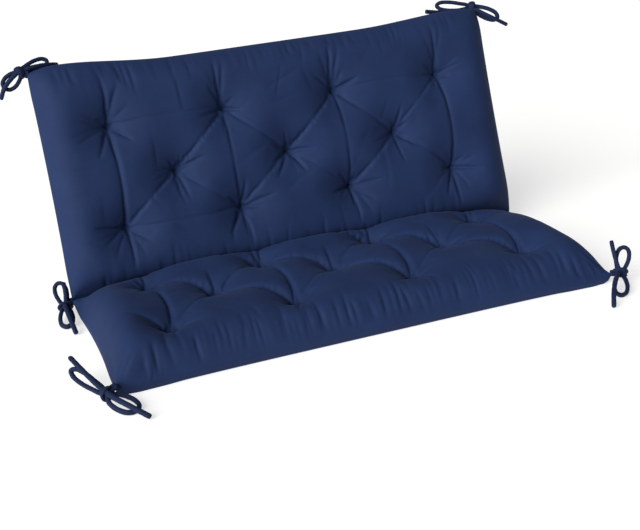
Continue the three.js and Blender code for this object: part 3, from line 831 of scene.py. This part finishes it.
# A soft tube along a route: a flattened ring carried along it, its size swelling in two slow sines and
# puckered by a slanting sine along the tube's seam, a little smaller at both ends
def softTube(route, wide, thick, sides, seed):
    count = len(route)
    forward = np.gradient(route, axis=0)
    forward /= np.linalg.norm(forward, axis=1, keepdims=True)
    lead = np.zeros_like(route)
    side = np.cross(forward[0], [0.31, 0.52, 0.8])  # any direction that no route starts in
    for k in range(count):  # carry the side direction along, square to the route
        side = side - forward[k] * (side @ forward[k])
        side /= np.linalg.norm(side)
        lead[k] = side
    other = np.cross(forward, lead)
    angle = np.linspace(0, 2 * math.pi, sides, endpoint=False)
    run = np.linspace(0, 1, count)
    few, many = tieTube["swells"]
    slow = np.sin(2 * math.pi * (run * few + seed)) + np.sin(2 * math.pi * (run * many + 2.3 * seed))
    slant = np.sin(run[:, None] * tieTube["puckers"] + 3 * np.sin(angle) + seed * 5)
    onSeam = np.maximum(0, np.cos(angle - tieTube["seamAt"])) ** 3
    size = 1 + tieTube["swell"] * slow[:, None] + tieTube["pucker"] * slant * onSeam
    steps = np.minimum(run, 1 - run) * (count - 1)
    size *= np.minimum(1, tieTube["endSize"] + (1 - tieTube["endSize"]) * steps)[:, None]
    ring = lead[:, None, :] * (np.cos(angle) * size * wide / 2)[..., None]
    ring = ring + other[:, None, :] * (np.sin(angle) * size * thick / 2)[..., None]
    return route[:, None, :] + ring


# Faces and cloth coordinates of a tube of rings, each end shut by strips across it
def closeTube(points, length, wide):
    count, sides = points.shape[:2]
    index = np.arange(count * sides).reshape(count, sides)
    around = np.concatenate([index, index[:, :1]], 1)
    cornersOf = lambda grid: [grid[:-1, :-1], grid[1:, :-1], grid[1:, 1:], grid[:-1, 1:]]
    quads = np.stack(cornersOf(around), -1).reshape(-1, 4)
    k = np.arange(sides // 2 - 1)
    capOf = lambda ring: np.stack([ring[k], ring[k + 1], ring[sides - 2 - k], ring[sides - 1 - k]], -1)
    caps = np.concatenate([capOf(index[0]), capOf(index[-1])[:, ::-1]])
    down, girth = np.linspace(0, length, count), np.linspace(0, math.pi * wide, sides + 1)
    v, u = np.meshgrid(down, girth, indexing="ij")
    flat = np.stack(cornersOf(np.stack([u, v], -1)), -2).reshape(-1, 2)
    flat = np.concatenate([flat, np.zeros((caps.size, 2))])
    return points.reshape(-1, 3), np.concatenate([quads, caps]), flat


# Faces point outwards where area * normal . centre, three times the volume inside, sums to more than 0
def turnOutward(piece):
    mesh = piece.data
    count = len(mesh.polygons)
    normals, centres = np.empty((2, count * 3), dtype=np.float32)
    areas = np.empty(count, dtype=np.float32)
    mesh.polygons.foreach_get("normal", normals)
    mesh.polygons.foreach_get("center", centres)
    mesh.polygons.foreach_get("area", areas)
    if ((normals.reshape(-1, 3) * centres.reshape(-1, 3)).sum(1) * areas).sum() < 0:
        mesh.flip_normals()


tieLengths = {}
for tie in bowTies:
    band = softTube(wrapRoute(tie), knotWrap["wide"], knotWrap["thick"], tieTube["sides"], knotWrap["seed"])
    bandFaces = closeTube(band, *knotWrap["clothSize"])
    wrap = meshPiece(tie["node"] + "_knot", *bandFaces, tieMaterial, "tie_cloth")
    turnOutward(wrap)
    for k, strand in enumerate(tie["strands"]):
        route, length = strandRoute(tie, strand, 1 - 2 * k)
        seed = 0.37 * k + len(tieLengths) * 0.61  # so that no two strands swell alike
        points = softTube(route, tieTube["wide"], tieTube["thick"], tieTube["sides"], seed)
        name = tie["node"] + ("_strand_a", "_strand_b")[k]
        piece = meshPiece(name, *closeTube(points, length, tieTube["wide"]), tieMaterial, "tie_cloth")
        turnOutward(piece)
        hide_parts(tie["node"])
        tieLengths[name] = round(float(length), 3)
print("ties:", tieLengths)


# Floor and light: a pale floor running out to white, one broad soft light and a bright room
stage = {
    "floor": "#b0b0ae",
    "floorRoughness": 0.9,
    "glow": 0.60,
    "reach": 14.0,
    "below": 0.0006,  # keeps the floor clear of the seat's underside
    "room": 0.22,
    "sun": 5.6,
    "sunSpread": 50.0,
    "sunFrom": (-0.80, -0.43, 0.46),
}
white = (1.0, 1.0, 1.0, 1.0)


# One square, matt and glowing a little so that it goes to white
def paleFloor():
    mesh = bpy.data.meshes.new("floor")
    far, low = stage["reach"], -stage["below"]
    corners = [(-far, -far, low), (far, -far, low), (far, far, low), (-far, far, low)]
    mesh.from_pydata(corners, [], [(0, 1, 2, 3)])
    material = bpy.data.materials.new("paleStudioFloor")
    material.use_nodes = True
    shader = material.node_tree.nodes["Principled BSDF"]
    shader.inputs["Base Color"].default_value = linearColour(stage["floor"])
    shader.inputs["Roughness"].default_value = stage["floorRoughness"]
    shader.inputs["Emission Color"].default_value = white
    shader.inputs["Emission Strength"].default_value = stage["glow"]
    mesh.materials.append(material)
    floor = bpy.data.objects.new("floor", mesh)
    bpy.context.collection.objects.link(floor)


# A broad soft source far off: its own z axis points at where the light comes from
def softSun():
    data = bpy.data.lights.new("softKey", "SUN")
    data.energy = stage["sun"]
    data.angle = math.radians(stage["sunSpread"])
    light = bpy.data.objects.new("softKey", data)
    away = np.array(stage["sunFrom"])
    away /= np.linalg.norm(away)
    light.matrix_world = lookFrom(away, 3 * away)
    bpy.context.collection.objects.link(light)


paleFloor()
softSun()
room = bpy.data.worlds.new("room")
room.use_nodes = True
room.node_tree.nodes["Background"].inputs["Color"].default_value = white
room.node_tree.nodes["Background"].inputs["Strength"].default_value = stage["room"]
bpy.context.scene.world = room
print("stage lit")
